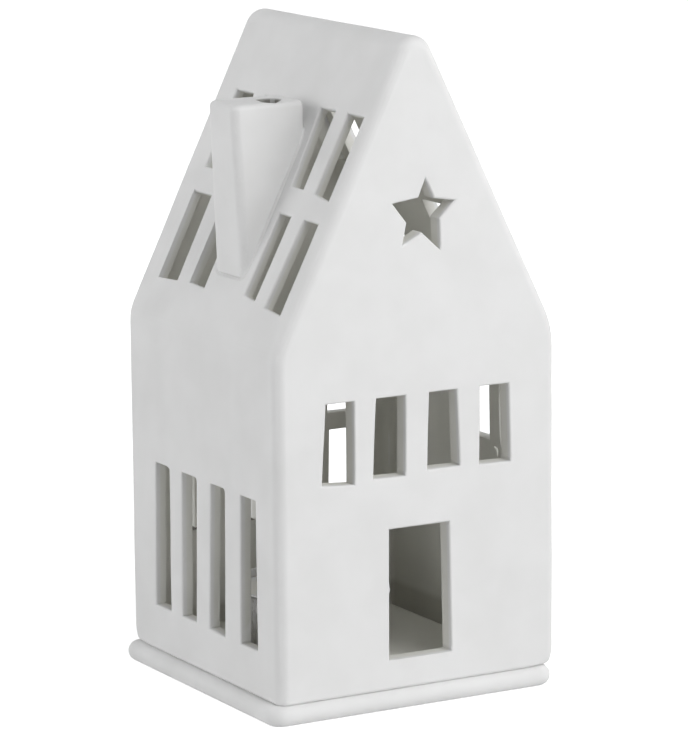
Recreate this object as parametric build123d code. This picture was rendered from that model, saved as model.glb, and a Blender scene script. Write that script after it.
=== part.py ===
from build123d import *
from math import atan2, cos, degrees, sin
import os

# A tealight house of unglazed white porcelain. The hollow house stands loose on a flat plate,
# over a tealight, and its chimney is a casting of its own that is luted to the roof.
# Millimetres. The underside of the plate is z = 0, the front gable faces -Y, and the wall
# with the long windows faces -X.

# House, outside. Heights in the house are measured from its foot.
house_width = 78.0
house_depth = 78.0
eave_height = 85.2  # where wall and roof would meet without their rounding
ridge_height = 165.0  # where the two slopes would meet without their rounding
ridge_radius = 5.2
window_side_eave_radius = 11.0
plain_side_eave_radius = 22.0
gable_edge_radius = 2.8
foot_edge_radius = 1.0

# House, wall thicknesses as cast
front_wall = 4.4
back_wall = 3.6
window_side_wall = 3.0
plain_side_wall = 4.0
window_side_roof = 2.5
plain_side_roof = 3.7
inner_edge_radius = 2.5
cut_overrun = 2.0

# Plate with its raised seat, and how the house and the tealight stand on it
plate_margin = 1.0
plate_thickness = 5.0
plate_corner_radius = 4.5
plate_edge_share = 0.49  # of the thickness: almost a full half round
seat_height = 4.0
seat_clearance = 6.2
seat_corner_radius = 4.0
seat_edge_radius = 0.8
house_play_shares = (0.26, 0.05)  # of the clearance round the seat
tealight_room_shares = (-0.78, 0.23)  # of the room left on the seat

# Chimney, from the house's own centre and foot. It is wider at its foot, and leans outwards.
chimney_foot_climb = 15.7  # up the slope from the eave
chimney_height = 42.1  # above where its foot stands on the slope
chimney_top_length = 19.9
chimney_top_width = 13.8
chimney_foot_width = 15.2
chimney_lean = 2.8
chimney_sink = 3.0
chimney_side_place = -4.9
chimney_foot_shift = 1.3  # of the foot's middle, towards the back
chimney_edge_radius = 2.2
chimney_top_radius = 1.5
flue_diameter = 6.4
flue_rim_radius = 0.4
flue_setback = 6.6  # from the chimney's back wall to the flue's centre

# Openings, all cut by hand. A row holds the place of the middle along the face as a share of the
# face's length, and then, as shares of the opening's width, the widths at the top and at the
# bottom, how far the bottom drifts sideways, and how far the sill drops at its left and right
# ends, or rises where the share is negative. Faces are seen from outside.
long_window_width = 7.9
long_window_height = 36.6
long_window_sill = 11.8
long_window_shares = (
    (-0.263, 0.93, 1.03, -0.09, 0.0, 0.0),
    (-0.080, 0.98, 0.93, -0.13, 0.0, 0.0),
    (0.111, 0.92, 1.00, -0.17, 0.0, 0.06),
    (0.310, 0.95, 1.09, -0.05, 0.04, 0.02),
)
upper_window_width = 8.3
upper_window_height = 18.9
upper_window_sill = 53.4
front_window_shares = (
    (-0.278, 0.92, 1.07, -0.07, 0.09, 0.17),
    (-0.098, 0.97, 1.06, -0.07, 0.07, 0.09),
    (0.088, 0.92, 1.09, 0.01, 0.0, 0.0),
    (0.274, 0.95, 1.06, 0.01, 0.04, 0.06),
)
side_window_shares = (
    (-0.112, 1.23, 1.28, -0.02, 0.07, 0.07),
    (0.262, 1.00, 1.06, 0.02, 0.0, 0.0),
)
back_window_shares = (
    (-0.270, 0.95, 1.02, 0.03, 0.05, 0.05),
    (-0.079, 1.01, 1.05, -0.03, 0.0, 0.0),
    (0.114, 1.00, 1.06, 0.02, -0.10, -0.10),
    (0.326, 0.76, 0.78, 0.0, -0.05, -0.05),
)
middle_window_height = 21.7
middle_window_sill = 26.8
door_width = 17.0
door_height = 32.4
door_sill = 7.5
door_shares = (0.0, 0.98, 1.02, 0.01, 0.0, 0.0)

# Roof slots, in rows of the same kind. Their sills are measured up the slope from the eave.
roof_slot_width = 8.0
low_slot_climb = 10.4
low_slot_length = 22.8
high_slot_climb = 39.9
high_slot_length = 20.7
window_side_low_slot_shares = (
    (-0.316, 1.15, 1.17, 0.0, 0.05, -0.02),
    (-0.117, 0.96, 0.95, -0.07, -0.10, -0.05),
    (0.227, 0.73, 0.69, -0.11, -0.19, -0.11),
    (0.392, 0.87, 1.03, -0.15, 0.0, 0.10),
)
window_side_high_slot_shares = (
    (-0.308, 1.12, 1.12, 0.0, 0.0, 0.0),
    (-0.123, 0.99, 0.99, 0.0, -0.04, -0.04),
    (0.229, 0.92, 0.72, 0.06, -0.06, -0.05),
    (0.400, 0.96, 0.92, -0.05, 0.0, 0.12),
)
plain_side_low_slot_shares = (
    (-0.325, 1.31, 1.31, 0.0, 0.0, 0.0),
    (-0.135, 1.39, 1.39, 0.0, 0.0, 0.0),
    (0.236, 1.21, 1.21, 0.0, 0.0, 0.0),
    (0.397, 0.96, 0.96, 0.0, 0.0, 0.0),
)
plain_side_high_slot_shares = (
    (-0.321, 1.31, 1.31, 0.0, 0.0, 0.0),
    (-0.137, 1.38, 1.38, 0.0, 0.0, 0.0),
    (0.230, 1.39, 1.39, 0.0, 0.0, 0.0),
    (0.398, 0.93, 0.93, 0.0, 0.0, 0.0),
)

# Star, as its tips and notches in turn, in shares of its radius
star_radius = 9.1
star_height = 115.5
star_place_share = 0.021  # of the house's width
star_outline_shares = (
    (0.07, 0.97), (0.32, 0.42), (0.95, 0.32), (0.48, -0.12), (0.51, -0.96),
    (-0.06, -0.45), (-0.63, -0.75), (-0.51, -0.16), (-0.93, 0.37), (-0.15, 0.47),
)

# Tealight of the usual size
cup_diameter = 37.6
cup_height = 15.0
cup_wall = 0.4
cup_rim_radius = 0.5
cup_corner_radius = 1.2
wax_headroom = 1.8
wax_hollow = 0.5
candle_clearance = 0.05
wick_diameter = 1.6
wick_reach = 6.0
sustainer_diameter = 14.0
sustainer_thickness = 0.3
sustainer_neck_height = 3.0
sustainer_neck_wall = 0.35

# Values worked out from the sizes above
plate_width = house_width + 2 * plate_margin
plate_depth = house_depth + 2 * plate_margin
slope_rise = (ridge_height - eave_height) / (house_width / 2)
slope_angle = atan2(ridge_height - eave_height, house_width / 2)
inner_left = window_side_wall - house_width / 2
inner_right = house_width / 2 - plain_side_wall
inner_front = front_wall - house_depth / 2
inner_back = house_depth / 2 - back_wall
seat_width = inner_right - inner_left - 2 * seat_clearance
seat_depth = inner_back - inner_front - 2 * seat_clearance
chimney_foot_length = chimney_top_length - chimney_lean
chimney_foot_place = chimney_foot_climb * cos(slope_angle) - house_width / 2
chimney_foot_height = eave_height + chimney_foot_climb * sin(slope_angle)
chimney_top_height = chimney_foot_height + chimney_height
chimney_back_place = chimney_foot_place + chimney_foot_length
house_place = Pos(
    seat_clearance * house_play_shares[0], seat_clearance * house_play_shares[1], plate_thickness
)
cup_reach = cup_diameter / 2 + cup_rim_radius
tealight_place = Pos(
    (seat_width / 2 - cup_reach) * tealight_room_shares[0],
    (seat_depth / 2 - cup_reach) * tealight_room_shares[1],
    plate_thickness + seat_height,
)

# The outside faces of the house, each with its own x to the right and y upwards
front_face = Plane((0, -house_depth / 2, 0), x_dir=(1, 0, 0), z_dir=(0, -1, 0))
back_face = Plane((0, house_depth / 2, 0), x_dir=(-1, 0, 0), z_dir=(0, 1, 0))
window_side_face = Plane((-house_width / 2, 0, 0), x_dir=(0, -1, 0), z_dir=(-1, 0, 0))
plain_side_face = Plane((house_width / 2, 0, 0), x_dir=(0, 1, 0), z_dir=(1, 0, 0))
window_side_slope = Plane(
    (-house_width / 2, 0, eave_height),
    x_dir=(0, -1, 0),
    z_dir=(-sin(slope_angle), 0, cos(slope_angle)),
)
plain_side_slope = Plane(
    (house_width / 2, 0, eave_height),
    x_dir=(0, 1, 0),
    z_dir=(sin(slope_angle), 0, cos(slope_angle)),
)


def nearest_corner(sketch, x, y):
    """The corner of a sketch that lies nearest to a point."""
    return sketch.vertices().sort_by_distance(Vector(x, y, 0))[0]


def house_profile(left, right, foot, left_rise, right_rise, radii):
    """The outline of a gable with its ridge and eaves rounded, seen from the front.

    The two rises are the heights at which the left and right slopes would pass the middle.
    """
    left_eave = (left, left_rise + left * slope_rise)
    right_eave = (right, right_rise - right * slope_rise)
    ridge = ((right_rise - left_rise) / slope_rise / 2, (left_rise + right_rise) / 2)
    profile = make_face(Polyline((left, foot), (right, foot), right_eave, ridge, left_eave, close=True))
    for corner, radius in zip((left_eave, right_eave, ridge), radii):
        profile = fillet(nearest_corner(profile, *corner), radius)
    return profile


def gable_edges(body, foot):
    """The edges round the front and back gables, without the ones along the foot."""
    ends = (body.faces().sort_by(Axis.Y)[0], body.faces().sort_by(Axis.Y)[-1])
    edges = ShapeList(edge for end in ends for edge in end.edges())
    return edges.filter_by(lambda edge: edge.center().Z > foot + gable_edge_radius)


def house_block():
    """The house as a solid block with all its outside roundings."""
    radii = (window_side_eave_radius, plain_side_eave_radius, ridge_radius)
    profile = house_profile(
        -house_width / 2, house_width / 2, 0, ridge_height, ridge_height, radii
    )
    block = extrude(Plane.XZ * profile, house_depth / 2, both=True)
    block = fillet(gable_edges(block, 0), gable_edge_radius)
    return fillet(block.faces().sort_by(Axis.Z)[0].edges(), foot_edge_radius)


def house_cavity():
    """The hollow inside the house, open at the foot."""
    radii = (window_side_eave_radius, plain_side_eave_radius, inner_edge_radius)
    left_rise = ridge_height - window_side_roof / cos(slope_angle)
    right_rise = ridge_height - plain_side_roof / cos(slope_angle)
    profile = house_profile(inner_left, inner_right, -cut_overrun, left_rise, right_rise, radii)
    cavity = extrude(Plane.XZ * profile, inner_back - inner_front)
    cavity = Pos(0, inner_back, 0) * cavity
    return fillet(gable_edges(cavity, -cut_overrun), inner_edge_radius)


def cutter(face, points, wall):
    """A blade that cuts an outline square through a wall, from outside it to inside it."""
    blade = extrude(make_face(Polyline(*points, close=True)), wall + 2 * cut_overrun)
    return face.offset(-wall - cut_overrun) * blade


def hand_cut_window(face, length, wall, shares, width, sill, height):
    """A window, door or slot with the uneven sides that a knife leaves in damp clay."""
    place_share, top_share, bottom_share, drift_share, left_drop_share, right_drop_share = shares
    middle = place_share * length
    foot_middle = middle + drift_share * width
    top_half = top_share * width / 2
    bottom_half = bottom_share * width / 2
    points = (
        (foot_middle - bottom_half, sill - left_drop_share * width),
        (foot_middle + bottom_half, sill - right_drop_share * width),
        (middle + top_half, sill + height),
        (middle - top_half, sill + height),
    )
    return cutter(face, points, wall)


def window_row(face, length, wall, rows, width, sill, height):
    """A row of hand-cut windows or slots."""
    return [hand_cut_window(face, length, wall, shares, width, sill, height) for shares in rows]


def star():
    """The star in the front gable."""
    middle = star_place_share * house_width
    points = [
        (middle + across * star_radius, star_height + up * star_radius)
        for across, up in star_outline_shares
    ]
    return cutter(front_face, points, front_wall)


def wall_openings():
    """The blades of all openings in the walls."""
    upper = (upper_window_width, upper_window_sill, upper_window_height)
    middle = (upper_window_width, middle_window_sill, middle_window_height)
    long = (long_window_width, long_window_sill, long_window_height)
    blades = window_row(front_face, house_width, front_wall, front_window_shares, *upper)
    blades += window_row(back_face, house_width, back_wall, back_window_shares, *upper)
    blades += window_row(back_face, house_width, back_wall, back_window_shares, *middle)
    blades += window_row(plain_side_face, house_depth, plain_side_wall, side_window_shares, *upper)
    blades += window_row(window_side_face, house_depth, window_side_wall, long_window_shares, *long)
    door = (door_width, door_sill, door_height)
    blades += window_row(front_face, house_width, front_wall, (door_shares,), *door)
    return blades + [star()]


def roof_openings():
    """The blades of all slots in the roof."""
    low = (roof_slot_width, low_slot_climb, low_slot_length)
    high = (roof_slot_width, high_slot_climb, high_slot_length)
    window_side = (window_side_slope, house_depth, window_side_roof)
    plain_side = (plain_side_slope, house_depth, plain_side_roof)
    blades = window_row(*window_side, window_side_low_slot_shares, *low)
    blades += window_row(*window_side, window_side_high_slot_shares, *high)
    blades += window_row(*plain_side, plain_side_low_slot_shares, *low)
    blades += window_row(*plain_side, plain_side_high_slot_shares, *high)
    return blades


def flue_bore():
    """The bore that runs down through the chimney and the roof under it."""
    roof_surface = ridge_height + (chimney_back_place - flue_setback - flue_diameter) * slope_rise
    bottom = roof_surface - window_side_roof / cos(slope_angle) - cut_overrun
    height = chimney_top_height + cut_overrun - bottom
    bore = extrude(Circle(flue_diameter / 2), height)
    return Pos(chimney_back_place - flue_setback, chimney_side_place, bottom) * bore


def house_shell():
    """The house itself: one thin-walled casting with its openings cut out."""
    shell = house_block() - house_cavity()
    shell -= wall_openings()
    shell -= roof_openings()
    return shell - flue_bore()


def chimney_section(length, width, side_place, height):
    """A level section of the chimney, with its back wall kept in one plane."""
    middle = chimney_back_place - length / 2
    return Pos(middle, side_place, height) * Rectangle(length, width)


def chimney():
    """The chimney, with its foot cut to the slope of the roof."""
    foot = chimney_section(
        chimney_foot_length,
        chimney_foot_width,
        chimney_side_place + chimney_foot_shift,
        chimney_foot_height - chimney_sink,
    )
    top = chimney_section(
        chimney_top_length, chimney_top_width, chimney_side_place, chimney_top_height
    )
    block = loft([foot, top])
    level = block.faces().sort_by(Axis.Z)
    upright = block.edges() - level[0].edges() - level[-1].edges()
    block = fillet(upright, chimney_edge_radius)
    block = fillet(block.faces().sort_by(Axis.Z)[-1].edges(), chimney_top_radius)
    block -= flue_bore()
    rim = block.faces().sort_by(Axis.Z)[-1].edges().filter_by(GeomType.CIRCLE)
    block = fillet(rim.sort_by(SortBy.RADIUS)[-1], flue_rim_radius)
    return block - house_block()


def rounded_slab(width, depth, thickness, corner_radius):
    """A flat slab with round corners, standing on z = 0."""
    return extrude(RectangleRounded(width, depth, corner_radius), thickness)


def base_plate():
    """The plate with its half-round edge and the raised seat for the tealight."""
    slab = rounded_slab(plate_width, plate_depth, plate_thickness, plate_corner_radius)
    rims = slab.faces().sort_by(Axis.Z)
    edge_radius = plate_edge_share * plate_thickness
    slab = fillet(rims[0].edges() + rims[-1].edges(), edge_radius)
    seat = rounded_slab(seat_width, seat_depth, seat_height, seat_corner_radius)
    seat = fillet(seat.faces().sort_by(Axis.Z)[-1].edges(), seat_edge_radius)
    return slab + Pos(0, 0, plate_thickness) * seat


def tealight_cup():
    """The thin metal cup with its rolled rim."""
    radius = cup_diameter / 2
    outside = extrude(Circle(radius), cup_height)
    outside = fillet(outside.faces().sort_by(Axis.Z)[0].edges(), cup_corner_radius)
    inside = Pos(0, 0, cup_wall) * extrude(Circle(radius - cup_wall), cup_height)
    inside = fillet(inside.faces().sort_by(Axis.Z)[0].edges(), cup_corner_radius - cup_wall)
    rim = Pos(0, 0, cup_height - cup_rim_radius) * Torus(radius, cup_rim_radius)
    return outside + rim - inside - Pos(0, 0, cup_height) * extrude(Circle(radius), cup_wall)


def wick_sustainer():
    """The tin disc at the bottom of the cup, with the neck that grips the wick."""
    disc = extrude(Circle(sustainer_diameter / 2), sustainer_thickness)
    bore_radius = wick_diameter / 2 + candle_clearance
    neck = extrude(Circle(bore_radius + sustainer_neck_wall), sustainer_neck_height)
    body = disc + Pos(0, 0, sustainer_thickness) * neck
    bore_height = sustainer_thickness + sustainer_neck_height
    bore = Pos(0, 0, sustainer_thickness) * extrude(Circle(bore_radius), bore_height)
    return Pos(0, 0, cup_wall) * (body - bore)


def wax_top():
    """How high the wax stands at the wall of the cup."""
    return cup_height - wax_headroom


def tealight_wick():
    """The cotton wick, from the sustainer's disc to above the wax."""
    bottom = cup_wall + sustainer_thickness
    height = wax_top() - wax_hollow + wick_reach - bottom
    return Pos(0, 0, bottom) * extrude(Circle(wick_diameter / 2), height)


def tealight_wax():
    """The wax, slightly hollow on top, cast round the sustainer and the wick."""
    radius = cup_diameter / 2 - cup_wall - candle_clearance
    wax = Pos(0, 0, cup_wall) * extrude(Circle(radius), wax_top() - cup_wall)
    wax = fillet(wax.faces().sort_by(Axis.Z)[0].edges(), cup_corner_radius - cup_wall)
    bowl_radius = (radius**2 + wax_hollow**2) / (2 * wax_hollow)
    wax -= Pos(0, 0, wax_top() - wax_hollow + bowl_radius) * Sphere(bowl_radius)
    disc_hole = extrude(Circle(sustainer_diameter / 2 + candle_clearance), sustainer_thickness)
    neck_radius = wick_diameter / 2 + 2 * candle_clearance + sustainer_neck_wall
    neck_hole = extrude(Circle(neck_radius), sustainer_thickness + sustainer_neck_height)
    wick_hole = extrude(Circle(wick_diameter / 2 + candle_clearance), cup_height)
    return wax - Pos(0, 0, cup_wall) * (disc_hole + neck_hole + wick_hole)


nodes = {
    "house_shell": house_place * house_shell(),
    "chimney": house_place * chimney(),
    "base_plate": base_plate(),
    "tealight_cup": tealight_place * tealight_cup(),
    "tealight_wax": tealight_place * tealight_wax(),
    "tealight_wick": tealight_place * tealight_wick(),
    "wick_sustainer": tealight_place * wick_sustainer(),
}

os.makedirs("parts", exist_ok=True)
for name, solid in nodes.items():
    export_step(solid, f"parts/{name}.step")
    print(name, "volume", round(solid.volume, 1))
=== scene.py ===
import math

import bmesh
import bpy
from mathutils import Matrix, Vector, noise


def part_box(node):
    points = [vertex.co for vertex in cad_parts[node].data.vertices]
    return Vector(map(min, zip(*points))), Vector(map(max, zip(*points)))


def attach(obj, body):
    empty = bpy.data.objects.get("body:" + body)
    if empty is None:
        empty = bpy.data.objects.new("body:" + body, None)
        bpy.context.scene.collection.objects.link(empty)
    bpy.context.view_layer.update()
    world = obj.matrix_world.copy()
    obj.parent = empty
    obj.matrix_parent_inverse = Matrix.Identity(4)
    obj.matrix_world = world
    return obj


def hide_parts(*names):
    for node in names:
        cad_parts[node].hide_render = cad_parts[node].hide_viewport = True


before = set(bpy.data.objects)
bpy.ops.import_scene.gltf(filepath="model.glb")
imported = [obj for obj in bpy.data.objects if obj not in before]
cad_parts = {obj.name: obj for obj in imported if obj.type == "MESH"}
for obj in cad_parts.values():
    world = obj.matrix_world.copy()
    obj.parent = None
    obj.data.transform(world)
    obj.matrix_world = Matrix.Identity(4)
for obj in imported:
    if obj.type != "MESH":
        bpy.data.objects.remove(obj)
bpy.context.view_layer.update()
mm = 0.001
houseLow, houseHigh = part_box("house_shell")
plateLow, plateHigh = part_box("base_plate")
cupLow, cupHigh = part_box("tealight_cup")
houseMiddle = (houseLow + houseHigh) / 2
print("frame loaded, house", [round(value / mm, 1) for value in houseHigh - houseLow], "mm")


# Shader node groups, shared by the materials

def newGroup(name, inputs, outputs):
    group = bpy.data.node_groups.new(name, "ShaderNodeTree")
    for socketName, socketType, default in inputs:
        socket = group.interface.new_socket(socketName, in_out="INPUT", socket_type=socketType)
        if default is not None:
            socket.default_value = default
    for socketName, socketType in outputs:
        group.interface.new_socket(socketName, in_out="OUTPUT", socket_type=socketType)
    return group, group.nodes.new("NodeGroupInput"), group.nodes.new("NodeGroupOutput")


def addNode(tree, kind, **settings):
    node = tree.nodes.new(kind)
    for key, value in settings.items():
        setattr(node, key, value)
    return node


def feed(tree, value, socket):
    if isinstance(value, bpy.types.NodeSocket):
        tree.links.new(value, socket)
    else:
        socket.default_value = value


def mathNode(tree, operation, first, second=None, clamp=False):
    node = addNode(tree, "ShaderNodeMath", operation=operation, use_clamp=clamp)
    feed(tree, first, node.inputs[0])
    if second is not None:
        feed(tree, second, node.inputs[1])
    return node.outputs[0]


def ramped(tree, value, low, high, start=0.0, end=1.0):
    node = addNode(tree, "ShaderNodeMapRange", interpolation_type="SMOOTHSTEP")
    for number, entry in enumerate((value, low, high, start, end)):
        feed(tree, entry, node.inputs[number])
    return node.outputs[0]


def noiseNode(tree, vector, scale, detail=3.0, roughness=0.55):
    node = addNode(tree, "ShaderNodeTexNoise")
    feed(tree, vector, node.inputs["Vector"])
    feed(tree, scale, node.inputs["Scale"])
    node.inputs["Detail"].default_value = detail
    node.inputs["Roughness"].default_value = roughness
    return node.outputs["Fac"]


pinholeLook = {
    "scaleShare": 0.09,  # of the grain's scale
    "rim": (0.03, 0.09),
    "rarity": 0.93,
}


def clayGrainGroup():
    # fine grog, soft mottling and a few pinholes
    group, start, end = newGroup(
        "clayGrain",
        (("Vector", "NodeSocketVector", None), ("Grain Scale", "NodeSocketFloat", 2600.0),
         ("Mottle Scale", "NodeSocketFloat", 70.0), ("Pinholes", "NodeSocketFloat", 0.5)),
        (("Grain", "NodeSocketFloat"), ("Mottle", "NodeSocketFloat"), ("Height", "NodeSocketFloat")))
    grain = noiseNode(group, start.outputs["Vector"], start.outputs["Grain Scale"], 4.0, 0.6)
    mottle = noiseNode(group, start.outputs["Vector"], start.outputs["Mottle Scale"], 2.0)
    pits = addNode(group, "ShaderNodeTexVoronoi", feature="F1")
    pitScale = mathNode(group, "MULTIPLY", start.outputs["Grain Scale"], pinholeLook["scaleShare"])
    feed(group, start.outputs["Vector"], pits.inputs["Vector"])
    feed(group, pitScale, pits.inputs["Scale"])
    hole = ramped(group, pits.outputs["Distance"], *pinholeLook["rim"], 1.0, 0.0)
    chance = addNode(group, "ShaderNodeSeparateColor")
    feed(group, pits.outputs["Color"], chance.inputs["Color"])
    rare = mathNode(group, "GREATER_THAN", chance.outputs["Red"], pinholeLook["rarity"])
    holes = mathNode(group, "MULTIPLY", hole, rare)
    holes = mathNode(group, "MULTIPLY", holes, start.outputs["Pinholes"])
    height = mathNode(group, "SUBTRACT", grain, holes)
    feed(group, grain, end.inputs["Grain"])
    feed(group, mottle, end.inputs["Mottle"])
    feed(group, height, end.inputs["Height"])
    return group


spongeBand = (0.35, 0.65)


def spongeGroup():
    # the wide soft marks that a damp sponge leaves on the clay
    group, start, end = newGroup(
        "spongeMarks",
        (("Vector", "NodeSocketVector", None), ("Scale", "NodeSocketFloat", 160.0),
         ("Stretch", "NodeSocketVector", (1.0, 1.0, 0.35))),
        (("Marks", "NodeSocketFloat"), ("Height", "NodeSocketFloat")))
    spread = addNode(group, "ShaderNodeVectorMath", operation="MULTIPLY")
    feed(group, start.outputs["Vector"], spread.inputs[0])
    feed(group, start.outputs["Stretch"], spread.inputs[1])
    wide = noiseNode(group, spread.outputs[0], start.outputs["Scale"], 2.0)
    feed(group, ramped(group, wide, *spongeBand), end.inputs["Marks"])
    feed(group, wide, end.inputs["Height"])
    return group


def shadeBoxGroup():
    # a mask that is 1 inside a box with a gabled top and 0 outside it, with a soft border
    group, start, end = newGroup(
        "shadeBoxMask",
        (("Vector", "NodeSocketVector", None), ("Middle", "NodeSocketVector", None),
         ("Half Size", "NodeSocketVector", None), ("Peak", "NodeSocketFloat", 1.0),
         ("Rise", "NodeSocketFloat", 0.0), ("Softness", "NodeSocketFloat", 0.003)),
        (("Inside", "NodeSocketFloat"),))
    offset = addNode(group, "ShaderNodeVectorMath", operation="SUBTRACT")
    feed(group, start.outputs["Vector"], offset.inputs[0])
    feed(group, start.outputs["Middle"], offset.inputs[1])
    size = addNode(group, "ShaderNodeVectorMath", operation="ABSOLUTE")
    feed(group, offset.outputs[0], size.inputs[0])
    room = addNode(group, "ShaderNodeVectorMath", operation="SUBTRACT")
    feed(group, start.outputs["Half Size"], room.inputs[0])
    feed(group, size.outputs[0], room.inputs[1])
    axes = addNode(group, "ShaderNodeSeparateXYZ")
    feed(group, room.outputs[0], axes.inputs[0])
    least = mathNode(group, "MINIMUM", axes.outputs[0], axes.outputs[1])
    least = mathNode(group, "MINIMUM", least, axes.outputs[2])
    lean = addNode(group, "ShaderNodeSeparateXYZ")
    feed(group, size.outputs[0], lean.inputs[0])
    height = addNode(group, "ShaderNodeSeparateXYZ")
    feed(group, start.outputs["Vector"], height.inputs[0])
    rise = start.outputs["Rise"]
    under = mathNode(group, "SUBTRACT", start.outputs["Peak"], height.outputs[2])
    under = mathNode(group, "SUBTRACT", under, mathNode(group, "MULTIPLY", lean.outputs[0], rise))
    away = mathNode(group, "ADD", 1.0, mathNode(group, "MULTIPLY", rise, rise))
    under = mathNode(group, "DIVIDE", under, mathNode(group, "SQRT", away))
    least = mathNode(group, "MINIMUM", least, under)
    negative = mathNode(group, "MULTIPLY", start.outputs["Softness"], -1.0)
    feed(group, ramped(group, least, negative, start.outputs["Softness"]), end.inputs["Inside"])
    return group


edgeLook = {"band": 0.06, "patches": (0.25, 0.6)}


def edgeGroup():
    # picks out convex edges from a pointiness value, broken into patches: wear with a painted highlight
    group, start, end = newGroup(
        "edgeWearAndHighlight",
        (("Pointiness", "NodeSocketFloat", 0.5), ("Vector", "NodeSocketVector", None),
         ("Threshold", "NodeSocketFloat", 0.52), ("Breakup Scale", "NodeSocketFloat", 240.0)),
        (("Edge", "NodeSocketFloat"),))
    upper = mathNode(group, "ADD", start.outputs["Threshold"], edgeLook["band"])
    edge = ramped(group, start.outputs["Pointiness"], start.outputs["Threshold"], upper)
    patches = noiseNode(group, start.outputs["Vector"], start.outputs["Breakup Scale"], 2.0)
    broken = ramped(group, patches, *edgeLook["patches"])
    feed(group, mathNode(group, "MULTIPLY", edge, broken), end.inputs["Edge"])
    return group


clayGrain = clayGrainGroup()
spongeMarks = spongeGroup()
shadeBoxMask = shadeBoxGroup()
edgeWearAndHighlight = edgeGroup()
print("node groups built")


# Materials

def newMaterial(name):
    material = bpy.data.materials.new(name)
    material.use_nodes = True
    tree = material.node_tree
    shader = tree.nodes["Principled BSDF"]
    place = addNode(tree, "ShaderNodeTexCoord").outputs["Object"]
    return material, tree, shader, place


def groupNode(tree, group, **values):
    node = addNode(tree, "ShaderNodeGroup", node_tree=group)
    for key, value in values.items():
        feed(tree, value, node.inputs[key.replace("_", " ")])
    return node


def mixColour(tree, factor, first, second):
    node = addNode(tree, "ShaderNodeMix", data_type="RGBA")
    feed(tree, factor, node.inputs["Factor"])
    feed(tree, first, node.inputs["A"])
    feed(tree, second, node.inputs["B"])
    return node.outputs["Result"]


def bumpNormal(tree, height, distance, strength=1.0):
    node = addNode(tree, "ShaderNodeBump")
    node.inputs["Strength"].default_value = strength
    node.inputs["Distance"].default_value = distance
    feed(tree, height, node.inputs["Height"])
    return node.outputs["Normal"]


porcelainLook = {
    "body": (0.800, 0.800, 0.795, 1),
    "pale": (0.830, 0.830, 0.827, 1),
    # deep: the tone of the grain's flecks, and painted shade over the chamber's inside and the plate's seat
    "deep": (0.750, 0.745, 0.695, 1),
    # painted shade on the openings' cut faces and on all that lies deeper than the skin
    "jambShade": (0.770, 0.766, 0.728, 1),
    # painted shade along the inside of the walls' foot
    "troughShade": (0.560, 0.550, 0.495, 1),
    # paler convex edges: wear, with a painted highlight
    "edge": (0.850, 0.850, 0.846, 1),
    # painted shade inside the flue
    "flue": (0.300, 0.295, 0.270, 1),
    # painted shade in the knife's slits
    "cut": (0.100, 0.095, 0.080, 1),
    "roughness": (0.52, 0.66),
    "specular": 0.35,
    "grainScale": 2600.0,
    "mottleScale": 70.0,
    "mottleBand": (0.3, 0.7),
    "fleckBand": (0.62, 0.8),
    "fleckShare": 0.5,
    "wearAndHighlightShare": 0.6,
    "grainDepth": 0.012 * mm,
    "spongeDepth": 0.06 * mm,
}


def porcelain(name, toneShift, paintedShades, marks=()):
    # each pair names a tone and the shape that it fills, all of them painted shade, and marks are shapes of
    # cuts, painted dark as their shade
    look = porcelainLook
    material, tree, shader, place = newMaterial(name)
    grain = groupNode(tree, clayGrain, Vector=place, Grain_Scale=look["grainScale"],
                      Mottle_Scale=look["mottleScale"])
    sponge = groupNode(tree, spongeMarks, Vector=place)
    wearAndHighlight = groupNode(tree, edgeWearAndHighlight, Vector=place,
                     Pointiness=addNode(tree, "ShaderNodeNewGeometry").outputs["Pointiness"])
    blotch = ramped(tree, grain.outputs["Mottle"], *look["mottleBand"])
    blotch = mathNode(tree, "ADD", blotch, toneShift, clamp=True)
    colour = mixColour(tree, blotch, look["body"], look["pale"])
    fleck = ramped(tree, grain.outputs["Grain"], *look["fleckBand"])
    fleck = mathNode(tree, "MULTIPLY", fleck, look["fleckShare"])
    colour = mixColour(tree, fleck, colour, look["deep"])
    for tone, shape in paintedShades:
        paintedShade = groupNode(tree, shadeBoxMask, Vector=place, **shape)
        colour = mixColour(tree, paintedShade.outputs["Inside"], colour, look[tone])
    worn = mathNode(tree, "MULTIPLY", wearAndHighlight.outputs["Edge"], look["wearAndHighlightShare"])
    colour = mixColour(tree, worn, colour, look["edge"])
    for shape in marks:
        slitShade = groupNode(tree, shadeBoxMask, Vector=place, **shape)
        colour = mixColour(tree, slitShade.outputs["Inside"], colour, look["cut"])
    feed(tree, colour, shader.inputs["Base Color"])
    smooth, dry = look["roughness"]
    feed(tree, ramped(tree, sponge.outputs["Marks"], 0.0, 1.0, dry, smooth), shader.inputs["Roughness"])
    shader.inputs["Specular IOR Level"].default_value = look["specular"]
    height = mathNode(tree, "MULTIPLY", grain.outputs["Height"], look["grainDepth"] / look["spongeDepth"])
    height = mathNode(tree, "ADD", height, sponge.outputs["Height"])
    feed(tree, bumpNormal(tree, height, look["spongeDepth"]), shader.inputs["Normal"])
    return material


foilLook = {
    "clean": (0.80, 0.80, 0.81, 1),
    "smudged": (0.71, 0.715, 0.73, 1),
    "smudgeScale": 190.0,
    "smudgeBand": (0.35, 0.7),
    "lineScale": 1900.0,
    "lineStretch": (1.0, 1.0, 0.06),
    "lineBand": (0.3, 0.7),
    "lineDepth": 0.02 * mm,
    "roughness": (0.24, 0.38),
}


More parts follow.
